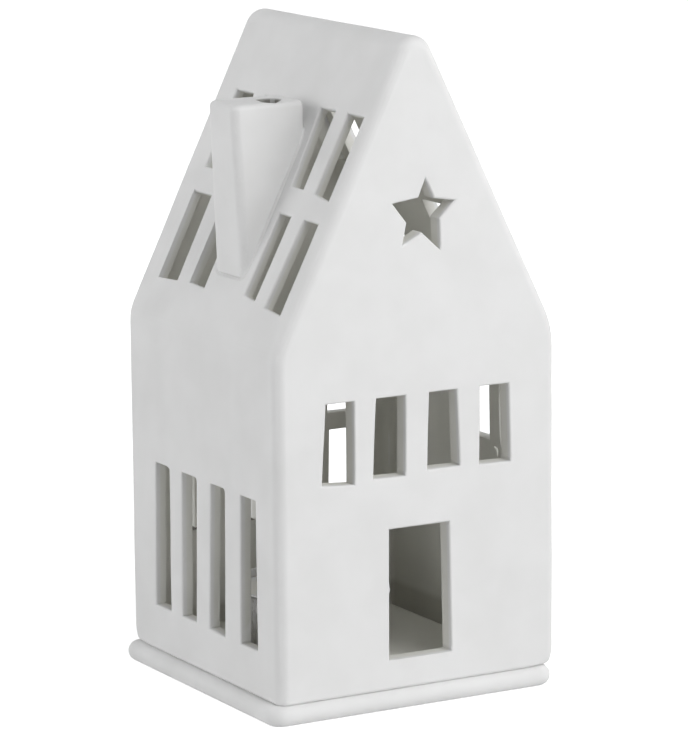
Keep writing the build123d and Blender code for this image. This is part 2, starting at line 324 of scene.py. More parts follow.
def cupFoil():
    look = foilLook
    material, tree, shader, place = newMaterial("drawnAluminium")
    spread = addNode(tree, "ShaderNodeMapping")
    spread.inputs["Scale"].default_value = look["lineStretch"]
    feed(tree, place, spread.inputs["Vector"])
    lines = noiseNode(tree, spread.outputs[0], look["lineScale"], 3.0, 0.7)
    smudge = ramped(tree, noiseNode(tree, place, look["smudgeScale"], 3.0), *look["smudgeBand"])
    feed(tree, mixColour(tree, smudge, look["clean"], look["smudged"]), shader.inputs["Base Color"])
    feed(tree, ramped(tree, lines, *look["lineBand"], *look["roughness"]), shader.inputs["Roughness"])
    feed(tree, bumpNormal(tree, lines, look["lineDepth"]), shader.inputs["Normal"])
    shader.inputs["Metallic"].default_value = 1.0
    return material


paraffinLook = {
    "clear": (0.86, 0.85, 0.81, 1),
    "bloomed": (0.90, 0.895, 0.875, 1),
    "bloomScale": 420.0,
    "bloomBand": (0.3, 0.7),
    "crystalScale": 520.0,
    "crystalDepth": 0.08 * mm,
    "roughness": (0.34, 0.5),
    "glowShare": 0.35,
    "glowRadius": (1.0, 0.8, 0.55),
    "glowDepth": 3.0 * mm,
}


def paraffin():
    look = paraffinLook
    material, tree, shader, place = newMaterial("paraffinWax")
    bloom = noiseNode(tree, place, look["bloomScale"], 4.0, 0.6)
    crystal = addNode(tree, "ShaderNodeTexVoronoi", feature="SMOOTH_F1")
    feed(tree, place, crystal.inputs["Vector"])
    crystal.inputs["Scale"].default_value = look["crystalScale"]
    mask = ramped(tree, bloom, *look["bloomBand"])
    mask = mathNode(tree, "MULTIPLY", mask, crystal.outputs["Distance"])
    feed(tree, mixColour(tree, mask, look["clear"], look["bloomed"]), shader.inputs["Base Color"])
    feed(tree, ramped(tree, bloom, *look["bloomBand"], *look["roughness"]), shader.inputs["Roughness"])
    feed(tree, bumpNormal(tree, mask, look["crystalDepth"]), shader.inputs["Normal"])
    shader.inputs["Subsurface Weight"].default_value = look["glowShare"]
    shader.inputs["Subsurface Radius"].default_value = look["glowRadius"]
    shader.inputs["Subsurface Scale"].default_value = look["glowDepth"]
    return material


cottonLook = {
    "between": (0.72, 0.69, 0.62, 1),
    "fibre": (0.86, 0.84, 0.79, 1),
    "stain": (0.64, 0.60, 0.52, 1),
    "fibreScale": 5200.0,
    "fibreBand": (0.3, 0.7),
    "fibreDepth": 0.05 * mm,
    "stainScale": 800.0,
    "stainBand": (0.5, 0.8),
    "roughness": (0.6, 0.85),
}


def cottonYarn():
    look = cottonLook
    material, tree, shader, place = newMaterial("waxedCotton")
    fibre = noiseNode(tree, place, look["fibreScale"], 4.0, 0.7)
    stain = ramped(tree, noiseNode(tree, place, look["stainScale"], 2.0), *look["stainBand"])
    colour = mixColour(tree, ramped(tree, fibre, *look["fibreBand"]), look["between"], look["fibre"])
    feed(tree, mixColour(tree, stain, colour, look["stain"]), shader.inputs["Base Color"])
    feed(tree, ramped(tree, fibre, *look["fibreBand"], *look["roughness"]), shader.inputs["Roughness"])
    feed(tree, bumpNormal(tree, fibre, look["fibreDepth"]), shader.inputs["Normal"])
    return material


tinLook = {
    "bright": (0.66, 0.65, 0.62, 1),
    "rubbed": (0.55, 0.54, 0.52, 1),
    "rubScale": 700.0,
    "rubBand": (0.35, 0.7),
    "drynessBand": (0.3, 0.7),
    "scratchScale": 3600.0,
    "scratchDepth": 0.01 * mm,
    "roughness": (0.3, 0.48),
}


def tinPlate():
    look = tinLook
    material, tree, shader, place = newMaterial("stampedTin")
    rub = noiseNode(tree, place, look["rubScale"], 4.0, 0.65)
    scratches = noiseNode(tree, place, look["scratchScale"], 2.0)
    colour = mixColour(tree, ramped(tree, rub, *look["rubBand"]), look["bright"], look["rubbed"])
    feed(tree, colour, shader.inputs["Base Color"])
    feed(tree, ramped(tree, rub, *look["drynessBand"], *look["roughness"]), shader.inputs["Roughness"])
    feed(tree, bumpNormal(tree, scratches, look["scratchDepth"]), shader.inputs["Normal"])
    shader.inputs["Metallic"].default_value = 1.0
    return material


# House wall sizes that the frame doesn't state, as in the casting
wallSizes = {"front": 4.4 * mm, "back": 3.6 * mm, "windowSide": 3.0 * mm, "plainSide": 4.0 * mm}
cavityEnds = 5 * mm  # how far the chamber's shape goes below the foot, and ends below the ridge
cavityLow = houseLow + Vector((wallSizes["windowSide"], wallSizes["front"], -cavityEnds))
cavityHigh = houseHigh - Vector((wallSizes["plainSide"], wallSizes["back"], cavityEnds))
ridgeSizes = {"overTop": 0.7 * mm, "rise": 2.046}  # from the top to where the planes inside the slopes meet
cavityShadeSizes = {"intoWall": 0.5 * mm, "softness": 1.0 * mm}
troughShadeSizes = {"height": 6.5 * mm, "below": 5 * mm, "softness": 1.6 * mm}
seatShadeSizes = {"belowFoot": 0.5 * mm, "softness": 0.5 * mm}
jambShadeSizes = {"depth": 1.25 * mm, "belowTop": 13 * mm, "overTop": 4.0 * mm, "softness": 0.35 * mm}

# Painted shade for the slits that the knife cut at two of the back windows, from the house's middle and foot
# in mm
knifeSoftness = 0.12 * mm
knifeCuts = (
    {"middle": (-22.2, 37.2, 27.25), "half": (0.9, 1.9, 0.28)},
    {"middle": (-5.7, 37.2, 27.7), "half": (0.5, 1.9, 0.22)},
)


def gabledShape(low, high, peak, softness):
    return {"Middle": (low + high) / 2, "Half_Size": (high - low) / 2, "Peak": peak,
            "Rise": ridgeSizes["rise"], "Softness": softness}


def cavityShadeShape():
    # painted shade over the chamber's inside, reaching a little into the walls, so that their inner faces
    # lie in it
    grown = Vector((1, 1, 1)) * cavityShadeSizes["intoWall"]
    return gabledShape(cavityLow - grown, cavityHigh + grown, houseHigh.z + ridgeSizes["overTop"],
                       cavityShadeSizes["softness"])


def troughShadeShape():
    # painted shade on the wall's inside along its foot, beside the seat
    grown = Vector((1, 1, 0)) * cavityShadeSizes["intoWall"]
    low = cavityLow - Vector((0, 0, troughShadeSizes["below"]))
    high = Vector((cavityHigh.x, cavityHigh.y, houseLow.z + troughShadeSizes["height"]))
    return gabledShape(low - grown, high + grown, houseHigh.z, troughShadeSizes["softness"])


def seatShadeShape():
    # painted shade over the plate's top inside the house, with the seat
    low = Vector((cavityLow.x, cavityLow.y, houseLow.z - seatShadeSizes["belowFoot"]))
    return gabledShape(low, cavityHigh, houseHigh.z, seatShadeSizes["softness"])


def jambShadeShape():
    # painted shade: a darker, warmer tone on all that lies deeper than the outer skin, where the openings'
    # cut faces are
    inset = Vector((jambShadeSizes["depth"], jambShadeSizes["depth"], 0))
    top = Vector((0, 0, jambShadeSizes["belowTop"]))
    return gabledShape(houseLow + inset, houseHigh - inset - top, houseHigh.z + jambShadeSizes["overTop"],
                       jambShadeSizes["softness"])


# dark marks that stand for the shade in the knife's slits
def knifeSlitShade():
    foot = Vector((houseMiddle.x, houseMiddle.y, houseLow.z))
    return [{"Middle": foot + Vector(cut["middle"]) * mm, "Half_Size": Vector(cut["half"]) * mm,
             "Softness": knifeSoftness} for cut in knifeCuts]


flueSizes = {"reach": 3.3 * mm, "setback": 6.6 * mm, "fromSide": 6.9 * mm, "mouth": 0.5 * mm,
             "softness": 0.3 * mm}


def flueShape():
    # the flue's shaded inside, from just under its mouth downwards
    low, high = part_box("chimney")
    top = high.z - flueSizes["mouth"]
    return {"Middle": (high.x - flueSizes["setback"], low.y + flueSizes["fromSide"], (low.z + top) / 2),
            "Half_Size": (flueSizes["reach"], flueSizes["reach"], (top - low.z) / 2),
            "Softness": flueSizes["softness"]}


# the house's painted shade: on the cut faces, over the chamber's inside and along the inside of the walls'
# foot
houseShades = (("jambShade", jambShadeShape()), ("deep", cavityShadeShape()), ("troughShade", troughShadeShape()))
houseClay = porcelain("porcelainHouse", 0.0, houseShades, knifeSlitShade())
# the chimney gets painted shade inside its flue
chimneyClay = porcelain("porcelainChimney", 0.15, (("flue", flueShape()),))
# the plate gets painted shade over its seat under the house
plateClay = porcelain("porcelainPlate", 0.1, (("deep", seatShadeShape()),))
foilMetal = cupFoil()
waxBody = paraffin()
cotton = cottonYarn()
tin = tinPlate()
print("materials built")


# Mesh work shared by the three castings

castWork = {
    "mergeDistance": 0.002 * mm,
    "onPlane": 0.0001 * mm,
    "flatAngle": math.radians(0.4),
    "sharpAngle": math.radians(35),
    "outerEdge": 0.45 * mm,
    "innerEdge": 0.2 * mm,
    "edgeSegments": 4,
    "skinDepth": 1.0 * mm,
    "gridStep": 3.0 * mm,
    "waveLength": 19.0 * mm,
    "waveHeight": 0.08 * mm,
    "rippleShare": 0.35,  # a finer wave on the first one, as a share of its height
    "rippleCount": 2.7,  # and how many of them one wave holds
    "normalWeight": 60,
}


def meshCopy(nodeName):
    bm = bmesh.new()
    bm.from_mesh(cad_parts[nodeName].data)
    bmesh.ops.remove_doubles(bm, verts=bm.verts, dist=castWork["mergeDistance"])
    bmesh.ops.dissolve_limit(bm, angle_limit=castWork["flatAngle"], verts=bm.verts, edges=bm.edges)
    return bm


def sharpEdges(bm):
    return [edge for edge in bm.edges
            if len(edge.link_faces) == 2 and edge.calc_face_angle(0) > castWork["sharpAngle"]]


def roundOff(bm, edges, radius):
    bmesh.ops.bevel(bm, geom=edges, offset=radius, offset_type="OFFSET",
                    segments=castWork["edgeSegments"], profile=0.5, affect="EDGES",
                    clamp_overlap=False, loop_slide=True, material=-1)


def cutAcross(bm, place, normal, clear=False):
    # clear also takes away what lies behind the plane
    bmesh.ops.bisect_plane(bm, geom=bm.verts[:] + bm.edges[:] + bm.faces[:], dist=castWork["onPlane"],
                           plane_co=place, plane_no=normal, clear_inner=clear)


def gridCuts(bm, low, high, step):
    bmesh.ops.triangulate(bm, faces=bm.faces[:], quad_method="BEAUTY", ngon_method="BEAUTY")
    for axis in range(3):
        normal = Vector((0, 0, 0))
        normal[axis] = 1
        count = int((high[axis] - low[axis]) / step)
        for number in range(1, count + 1):
            point = low.copy()
            point[axis] += number * step
            cutAcross(bm, point, normal)


def handWave(bm, fade):
    # the slight unevenness of a casting that was sponged by hand
    bm.normal_update()
    moves = []
    for vert in bm.verts:
        place = vert.co / castWork["waveLength"]
        wave = noise.noise(place) + castWork["rippleShare"] * noise.noise(place * castWork["rippleCount"])
        moves.append(vert.normal * wave * castWork["waveHeight"] * fade(vert))
    for vert, move in zip(bm.verts, moves):
        vert.co += move


def smoothStep(value, low, high):
    share = min(max((value - low) / (high - low), 0), 1)
    return share * share * (3 - 2 * share)


def makePiece(bm, name, body, material, replaced=()):
    mesh = bpy.data.meshes.new(name)
    for face in bm.faces:
        face.smooth = True
    bm.to_mesh(mesh)
    bm.free()
    piece = bpy.data.objects.new(name, mesh)
    bpy.context.collection.objects.link(piece)
    mesh.materials.append(material)
    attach(piece, body)
    if replaced:
        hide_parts(*replaced)
    return piece


def weightNormals(piece):
    modifier = piece.modifiers.new("faceWeights", "WEIGHTED_NORMAL")
    modifier.mode = "FACE_AREA"
    modifier.weight = castWork["normalWeight"]


# House

slopeLean = {"across": 0.3, "up": 0.2}  # least share of a slope's normal


def widestFace(bm, across, upward):
    # the widest face that leans to the side of across, and up or down as upward has it
    leaning = [face for face in bm.faces
               if face.normal.x * across > slopeLean["across"] and face.normal.z * upward > slopeLean["up"]]
    return max(leaning, key=lambda face: face.calc_area())


def slopePlanes(bm):
    slopes = (widestFace(bm, across, 1) for across in (-1, 1))
    return [(face.verts[0].co.copy(), face.normal.copy()) for face in slopes]


def depthUnderSkin(point, slopes):
    depths = [point.x - houseLow.x, houseHigh.x - point.x, point.y - houseLow.y, houseHigh.y - point.y]
    depths += [(origin - point).dot(normal) for origin, normal in slopes]
    return min(depths)


doorBurr = {
    "place": (-8.45, -39.0, 25.0),  # from the house's middle and foot, in mm
    "cuts": (-0.7, -0.35, 0.0, 0.35, 0.7),
    "reach": 1.1 * mm,
    "depth": 0.35 * mm,
}
houseCuts = {
    "windowCorner": 1.1 * mm,  # the front top corners of three long windows are rounder
    "windowCornerHeight": 35 * mm,
    "wallShare": 0.9,  # of the wall's thickness, that a corner's edge crosses
    "straightShare": 0.98,  # of the edge's length, that goes straight through
    "footFade": 3 * mm,
}


def longWindowCorners(bm):
    # the edges through the window side wall at the long windows' top corners
    found = []
    for edge in sharpEdges(bm):
        first, second = edge.verts
        across = abs(first.co.x - second.co.x)
        middle = (first.co + second.co) / 2
        if across < wallSizes["windowSide"] * houseCuts["wallShare"]:
            continue
        if across < edge.calc_length() * houseCuts["straightShare"]:
            continue
        if middle.x > houseLow.x + wallSizes["windowSide"] or middle.z > houseMiddle.z:
            continue
        if middle.z > houseLow.z + houseCuts["windowCornerHeight"]:
            found.append(edge)
    found.sort(key=lambda edge: edge.verts[0].co.y)
    # each window has a front and a rear corner, and the frontmost window keeps both as the CAD has them
    return found[2::2]


footRound = {
    "reach": 9.0 * mm,
    "cuts": (0.5, 1.0, 1.6, 2.3, 3.0, 3.8, 4.5),  # heights in mm
    # which corner, across and deep, then how high and how far it is drawn in
    "corners": (((-1, 1), 4.5 * mm, 1.4 * mm), ((1, -1), 5.0 * mm, 1.7 * mm)),
}


def roundFoot(bm):
    # the two corners at the ends of the photo's outline are drawn in at their foot
    for cut in footRound["cuts"]:
        cutAcross(bm, Vector((0, 0, houseLow.z + cut * mm)), (0, 0, 1))
    for (across, deep), top, depth in footRound["corners"]:
        cornerX = houseHigh.x if across > 0 else houseLow.x
        cornerY = houseHigh.y if deep > 0 else houseLow.y
        inward = Vector((-across, -deep, 0)) * math.sqrt(0.5)
        for vert in bm.verts:
            height = vert.co.z - houseLow.z
            distance = math.hypot(vert.co.x - cornerX, vert.co.y - cornerY)
            if height >= top or distance >= footRound["reach"]:
                continue
            drawn = 1 - math.sqrt(1 - (1 - max(height, 0) / top) ** 2)
            vert.co += inward * drawn * depth * (1 - smoothStep(distance, 0, footRound["reach"]))


def burrDoor(bm):
    # a crumb of clay left on the door's outer edge
    place = Vector((houseMiddle.x, houseMiddle.y, houseLow.z)) + Vector(doorBurr["place"]) * mm
    for lift in doorBurr["cuts"]:
        cutAcross(bm, place + Vector((0, 0, lift * mm)), (0, 0, 1))
    for vert in bm.verts:
        share = 1 - (vert.co - place).length / doorBurr["reach"]
        if share > 0:
            vert.co.x += doorBurr["depth"] * share


def buildHouse():
    bm = meshCopy("house_shell")
    slopes = slopePlanes(bm)
    corners = longWindowCorners(bm)
    print("rounding", len(corners), "window corners")
    roundOff(bm, corners, houseCuts["windowCorner"])
    outer = []
    inner = []
    for edge in sharpEdges(bm):
        middle = (edge.verts[0].co + edge.verts[1].co) / 2
        skin = depthUnderSkin(middle, slopes) < castWork["skinDepth"]
        (outer if skin else inner).append(edge)
    roundOff(bm, outer, castWork["outerEdge"])
    inner = [edge for edge in inner if edge.is_valid]
    roundOff(bm, inner, castWork["innerEdge"])
    gridCuts(bm, houseLow, houseHigh, castWork["gridStep"])
    burrDoor(bm)
    roundFoot(bm)
    handWave(bm, lambda vert: smoothStep(vert.co.z, houseLow.z, houseLow.z + houseCuts["footFade"]))
    house = makePiece(bm, "porcelain_house", "house", houseClay, ("house_shell",))
    weightNormals(house)
    print("house", len(house.data.polygons), "faces")


buildHouse()


# Chimney

chimneyCuts = {
    "onRoof": 0.01 * mm,  # edges as near as this to the roof stay sharp
}


def slopeUnder(bm):
    foot = widestFace(bm, 1, -1)
    return foot.verts[0].co.copy(), -foot.normal


mouthDip = {
    "place": (-1.0, -3.3),  # from the flue's middle, in mm
    "cuts": (-3.0, -2.0, -1.0, 0.0, 1.0, 2.0, 3.0),
    "depth": 0.8 * mm,
    "reach": 4.2 * mm,
    "under": 3.0 * mm,
}


def dipMouth(bm, top):
    # the flue's near rim is worn down a little
    flueX, flueY, _ = flueShape()["Middle"]
    place = Vector((flueX, flueY, top)) + Vector((*mouthDip["place"], 0)) * mm
    for cut in mouthDip["cuts"]:
        cutAcross(bm, place + Vector((cut * mm, 0, 0)), (1, 0, 0))
        cutAcross(bm, place + Vector((0, cut * mm, 0)), (0, 1, 0))
    for vert in bm.verts:
        if vert.co.z > top - mouthDip["under"]:
            distance = math.hypot(vert.co.x - place.x, vert.co.y - place.y)
            vert.co.z -= mouthDip["depth"] * (1 - smoothStep(distance, 0, mouthDip["reach"]))


def buildChimney():
    bm = meshCopy("chimney")
    origin, normal = slopeUnder(bm)
    edges = [edge for edge in sharpEdges(bm)
             if abs((edge.verts[0].co - origin).dot(normal)) > chimneyCuts["onRoof"]]
    roundOff(bm, edges, castWork["innerEdge"])
    low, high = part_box("chimney")
    gridCuts(bm, low, high, castWork["gridStep"])
    dipMouth(bm, high.z)
    handWave(bm, lambda vert: smoothStep((vert.co - origin).dot(normal), 0, houseCuts["footFade"]))
    chimney = makePiece(bm, "porcelain_chimney", "house", chimneyClay, ("chimney",))
    weightNormals(chimney)
    print("chimney", len(chimney.data.polygons), "faces")


lutingLook = {
    # section of the slip in mm: up the chimney's wall, away over the roof, and off the roof
    "section": ((0.4, -0.02, 0.0), (0.25, 0.03, 0.0), (0.13, 0.08, 0.005), (0.06, 0.16, 0.01),
                (0.02, 0.3, 0.01), (0.0, 0.45, 0.0), (0.0, 0.6, -0.02), (0.0, 0.7, -0.07),
                (0.0, 0.6, -0.35), (0.0, -0.5, -0.35), (0.4, -0.5, 0.0)),
    "stepLength": 1.2 * mm,
    "unevenness": 0.35,
    "waveLength": 8 * mm,
    "cutHeight": 0.05 * mm,
}


def footLoop(look):
    # the loop that the chimney's outside cuts in the roof, with the wall's direction at each point
    bm = meshCopy("chimney")
    origin, normal = slopeUnder(bm)
    cutAcross(bm, origin + normal * look["cutHeight"], normal, clear=True)
    for edge in [edge for edge in bm.edges if edge.is_boundary]:
        cuts = int(edge.calc_length() / look["stepLength"])
        if cuts:
            bmesh.ops.subdivide_edges(bm, edges=[edge], cuts=cuts)
    lowest = min((vert for vert in bm.verts if vert.is_boundary), key=lambda vert: vert.co.z)
    points = {lowest}
    ahead = [lowest]
    while ahead:
        vert = ahead.pop()
        for edge in vert.link_edges:
            if edge.is_boundary and edge.other_vert(vert) not in points:
                points.add(edge.other_vert(vert))
                ahead.append(edge.other_vert(vert))
    start = {}
    for vert in points:
        wall = sum((edge.link_faces[0].normal for edge in vert.link_edges if edge.is_boundary), Vector())
        outward = (wall - normal * wall.dot(normal)).normalized()
        along = normal.cross(outward)
        upWall = wall.cross(along).normalized()
        if upWall.dot(normal) < 0:
            upWall.negate()
        start[vert] = (vert.co.copy(), upWall, outward)
    loose = [edge for edge in bm.edges if not (edge.is_boundary and edge.verts[0] in points)]
    bmesh.ops.delete(bm, geom=bm.faces[:], context="FACES_ONLY")
    bmesh.ops.delete(bm, geom=loose, context="EDGES")
    return bm, normal, {vert: start[vert] for vert in bm.verts if vert in start}


def buildLuting():
    look = lutingLook
    bm, normal, start = footLoop(look)
    firstRing = ring = bm.edges[:]
    for number, (upWards, away, lift) in enumerate(look["section"]):
        if number:
            made = bmesh.ops.extrude_edge_only(bm, edges=ring)["geom"]
            ring = [item for item in made if isinstance(item, bmesh.types.BMEdge)]
            for vert in (item for item in made if isinstance(item, bmesh.types.BMVert)):
                below = next(edge.other_vert(vert) for edge in vert.link_edges
                             if edge.other_vert(vert) in start)
                start[vert] = start[below]
        for vert in {vert for edge in ring for vert in edge.verts}:
            place, upWall, outward = start[vert]
            uneven = 1 + look["unevenness"] * noise.noise(place / look["waveLength"])
            width = away * uneven if away > 0 else away
            vert.co = place + (upWall * upWards * uneven + outward * width + normal * lift) * mm
    bmesh.ops.bridge_loops(bm, edges=firstRing + ring)
    bmesh.ops.recalc_face_normals(bm, faces=bm.faces)
    bead = makePiece(bm, "luting_slip", "house", chimneyClay)
    print("luting", len(bead.data.polygons), "faces")


buildChimney()
buildLuting()


# The burr that the knife left inside the front window nearest to the plain side

burrLook = {
    # in mm across from the house's middle, and up from its foot
    "line": ((25.35, 72.0), (25.4, 68.0), (25.5, 63.0), (25.6, 59.5), (25.8, 57.0), (26.0, 55.4),
             (26.1, 54.9)),
    "curl": ((23.9, 55.85), (24.35, 55.65), (24.7, 55.1), (24.85, 54.3), (24.8, 53.4)),
    "depth": 4.45 * mm,  # from the gable to the burr
    "thickness": 0.24 * mm,
    "endShare": 0.35,  # of the thickness, at both ends
    "roundSteps": 3,
    "alongSteps": 6,
}


def sweptBurr(name, points):
    look = burrLook
    curve = bpy.data.curves.new(name, "CURVE")
    curve.dimensions = "3D"
    curve.bevel_depth = look["thickness"]
    curve.bevel_resolution = look["roundSteps"]
    curve.use_fill_caps = True
    spline = curve.splines.new("NURBS")
    spline.points.add(len(points) - 1)
    for number, (across, above) in enumerate(points):
        place = (houseMiddle.x + across * mm, houseLow.y + look["depth"], houseLow.z + above * mm)
        spline.points[number].co = (*place, 1)
        if number in (0, len(points) - 1):
            spline.points[number].radius = look["endShare"]
    spline.order_u = 4
    spline.use_endpoint_u = True
    spline.resolution_u = look["alongSteps"]
    holder = bpy.data.objects.new(name, curve)
    mesh = bpy.data.meshes.new_from_object(holder)
    bpy.data.objects.remove(holder)
    return mesh


def buildBurr():
    bm = bmesh.new()
    for name in ("line", "curl"):
        bm.from_mesh(sweptBurr("burr" + name, burrLook[name]))
    bmesh.ops.recalc_face_normals(bm, faces=bm.faces)
    makePiece(bm, "window_burr", "house", houseClay)
    print("burr built")


buildBurr()


# Plate

levelShare = 0.7  # of a normal that points up or down, where the plate stays flat


def buildPlate():
    bm = meshCopy("base_plate")
    roundOff(bm, sharpEdges(bm), castWork["innerEdge"])
    gridCuts(bm, plateLow, plateHigh, castWork["gridStep"])
    level = {vert for vert in bm.verts if abs(vert.normal.z) > levelShare}
    handWave(bm, lambda vert: 0 if vert in level else 1)
    plate = makePiece(bm, "porcelain_plate", "base", plateClay, ("base_plate",))
    weightNormals(plate)
    print("plate", len(plate.data.polygons), "faces")


buildPlate()


# Tealight

tealightLook = {
    "spinSteps": 96,
    # foil section in mm, from the middle of the bottom outwards, up, round the rim and down inside
    "foil": ((0, 0.35), (6.0, 0.35), (7.0, 0.0), (16.6, 0.0), (17.7, 0.25), (18.25, 0.9), (18.45, 2.0),
             (18.5, 8.0), (18.6, 13.6), (18.75, 14.2), (19.15, 14.25), (19.3, 14.55), (19.15, 14.85),
             (18.8, 14.98), (18.5, 14.8), (18.4, 14.4), (18.3, 13.6), (18.2, 8.0), (18.15, 2.0),
             (17.95, 1.1), (17.5, 0.6), (16.5, 0.4), (7.2, 0.4), (6.2, 0.62), (0, 0.62)),
    "flutes": 46,
    "fluteDepth": 0.035 * mm,
    # heights in mm where the flutes begin and end
    "fluteFoot": (2.0, 6.0),
    "fluteHead": (11.0, 14.0),
    "fluteReach": 17 * mm,
    # how fast the flutes' unevenness changes round the cup, and where in the noise it starts
    "creaseRate": 9,
    "creaseStart": 3,
    # wax section, from the bottom's middle outwards, up the cup and in over the top to the wick
    "wax": ((0.85, 0.75), (16.4, 0.75), (17.4, 1.2), (17.95, 2.2), (18.0, 8.0), (18.08, 13.15),
            (17.8, 13.02), (17.2, 12.72), (15.5, 12.6), (10.0, 12.62), (5.0, 12.7), (2.6, 12.95),
            (1.5, 13.45), (0.95, 13.9), (0.75, 13.95), (0.75, 12.0)),
    # the wax's uneven top: heights in mm where it begins, then its size
    "rippleFoot": (12.2, 12.6),
    "rippleHeight": 0.12 * mm,
    "rippleLength": 5 * mm,
    "strands": 3,
    "strandSides": 8,
    "strandTurn": 0.5,  # in radians, of the strands that wind the other way
    "strandRadius": 0.3 * mm,
    "strandReach": 0.5 * mm,
    "strandPitch": 3.4 * mm,
    "strandSteps": 26,
    # the wick's tip leans over: from this share of its height, this far
    "tipShare": 0.72,
    "tipLean": 0.35 * mm,
}
cupFoot = Vector(((cupLow.x + cupHigh.x) / 2, (cupLow.y + cupHigh.y) / 2, cupLow.z))


def spunSection(section, close=False):
    # a section of (reach, height) points in mm, spun once round the tealight's axis
    bm = bmesh.new()
    verts = [bm.verts.new((cupFoot.x + reach * mm, cupFoot.y, cupFoot.z + height * mm))
             for reach, height in section]
    edges = [bm.edges.new(pair) for pair in zip(verts, verts[1:])]
    if close:
        edges.append(bm.edges.new((verts[-1], verts[0])))
    bmesh.ops.spin(bm, geom=verts + edges, cent=cupFoot, axis=(0, 0, 1), dvec=(0, 0, 0),
                   angle=2 * math.pi, steps=tealightLook["spinSteps"], use_merge=True)
    bmesh.ops.remove_doubles(bm, verts=bm.verts, dist=castWork["mergeDistance"])
    bmesh.ops.recalc_face_normals(bm, faces=bm.faces)
    return bm


def subdivideOnce(piece):
    smoothed = piece.modifiers.new("smoothed", "SUBSURF")
    smoothed.levels = 1
    smoothed.render_levels = 1


def buildCup():
    look = tealightLook
    bm = spunSection(look["foil"])
    for vert in bm.verts:
        flat = Vector((vert.co.x - cupFoot.x, vert.co.y - cupFoot.y, 0))
        angle = math.atan2(flat.y, flat.x)
        height = (vert.co.z - cupFoot.z) / mm
        share = smoothStep(height, *look["fluteFoot"]) * (1 - smoothStep(height, *look["fluteHead"]))
        if flat.length > look["fluteReach"]:
            crease = noise.noise(Vector((angle * look["creaseRate"], height, look["creaseStart"])))
            flute = math.sin(angle * look["flutes"]) + crease
            vert.co += flat.normalized() * flute * share * look["fluteDepth"]
    cup = makePiece(bm, "foil_cup", "tealight", foilMetal, ("tealight_cup",))
    subdivideOnce(cup)
    print("cup", len(cup.data.polygons), "faces")


def buildWax():
    look = tealightLook
    bm = spunSection(look["wax"], close=True)
    for vert in bm.verts:
        height = (vert.co.z - cupFoot.z) / mm
        share = smoothStep(height, *look["rippleFoot"])
        vert.co.z += look["rippleHeight"] * share * noise.noise(vert.co / look["rippleLength"])
    wax = makePiece(bm, "wax_fill", "tealight", waxBody, ("tealight_wax",))
    subdivideOnce(wax)
    print("wax", len(wax.data.polygons), "faces")


def buildWick():
    # a square braid: strands that wind both ways round the wick's middle
    look = tealightLook
    low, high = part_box("tealight_wick")
    foot = Vector(((low.x + high.x) / 2, (low.y + high.y) / 2, low.z))
    height = high.z - low.z
    turns = height / look["strandPitch"]
    steps = int(look["strandSteps"] * turns)
    upright = Matrix.Translation((look["strandReach"], 0, 0)) @ Matrix.Rotation(math.pi / 2, 4, "X")
    bm = bmesh.new()
    for way, turned in ((1, 0), (-1, look["strandTurn"])):
        for number in range(look["strands"]):
            place = Matrix.Rotation(number * math.tau / look["strands"] + turned, 4, "Z")
            ring = bmesh.ops.create_circle(
                bm, segments=look["strandSides"], radius=look["strandRadius"], cap_ends=False,
                matrix=Matrix.Translation(foot) @ place @ upright)
            edges = list({edge for vert in ring["verts"] for edge in vert.link_edges})
            bmesh.ops.spin(bm, geom=ring["verts"] + edges, cent=foot, axis=(0, 0, way),
                           dvec=(0, 0, height / steps), angle=math.tau * turns, steps=steps,
                           use_merge=False)
    for vert in bm.verts:
        share = smoothStep(vert.co.z, foot.z + height * look["tipShare"], foot.z + height)
        vert.co.x += look["tipLean"] * share
        vert.co.z = min(max(vert.co.z, low.z), high.z)
    ends = [edge for edge in bm.edges if edge.is_boundary]
    bmesh.ops.holes_fill(bm, edges=ends, sides=look["strandSides"])
    bmesh.ops.recalc_face_normals(bm, faces=bm.faces)
    makePiece(bm, "braided_wick", "tealight", cotton, ("tealight_wick",))
    print("wick built")


def dressSustainer():
    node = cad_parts["wick_sustainer"]
    if not node.material_slots:
        node.data.materials.append(tin)
    for materialSlot in node.material_slots:
        materialSlot.material = tin


buildCup()
buildWax()
buildWick()
dressSustainer()


# Floor, light and camera

studio = {
    "floorSize": 6.0,
    "floorTone": (0.78, 0.78, 0.78, 1),
    "shownTone": (1, 1, 1, 1),
    "worldTone": (0.95, 0.97, 1.0, 1),
    "worldStrength": 0.1,
    "glow": (0.72, 1.0),  # of the floor's white, beside the plate and far from it
    "glowReach": (0.12, 0.6),  # in metres, as the other sizes here
    "lampDistance": 1.3,
    "lampSize": 0.9,
    # name, azimuth and elevation seen from the house, power
    "lamps": (
        ("keyLight", 25, 15, 5.9),
        ("highLight", 10, 50, 7.2),
        ("windowSideLight", -115, 15, 7.0),
        ("cornerLight", -50, 15, 1.0),
        ("farCornerLight", 50, 15, 0.9),
        ("backLight", -170, 15, 2.2),
        ("plainSideLight", 90, 20, 2.5),
    ),
}


def shadingFor(tree, lit, shown, output):
    # shown to camera, glossy and transmission rays, lit for all others
    rays = addNode(tree, "ShaderNodeLightPath")
    seen = mathNode(tree, "MAXIMUM", rays.outputs["Is Camera Ray"], rays.outputs["Is Glossy Ray"])
    seen = mathNode(tree, "MAXIMUM", seen, rays.outputs["Is Transmission Ray"])
    mix = addNode(tree, "ShaderNodeMixShader")
    feed(tree, seen, mix.inputs["Fac"])
    tree.links.new(lit, mix.inputs[1])
    tree.links.new(shown, mix.inputs[2])
    tree.links.new(mix.outputs[0], output)


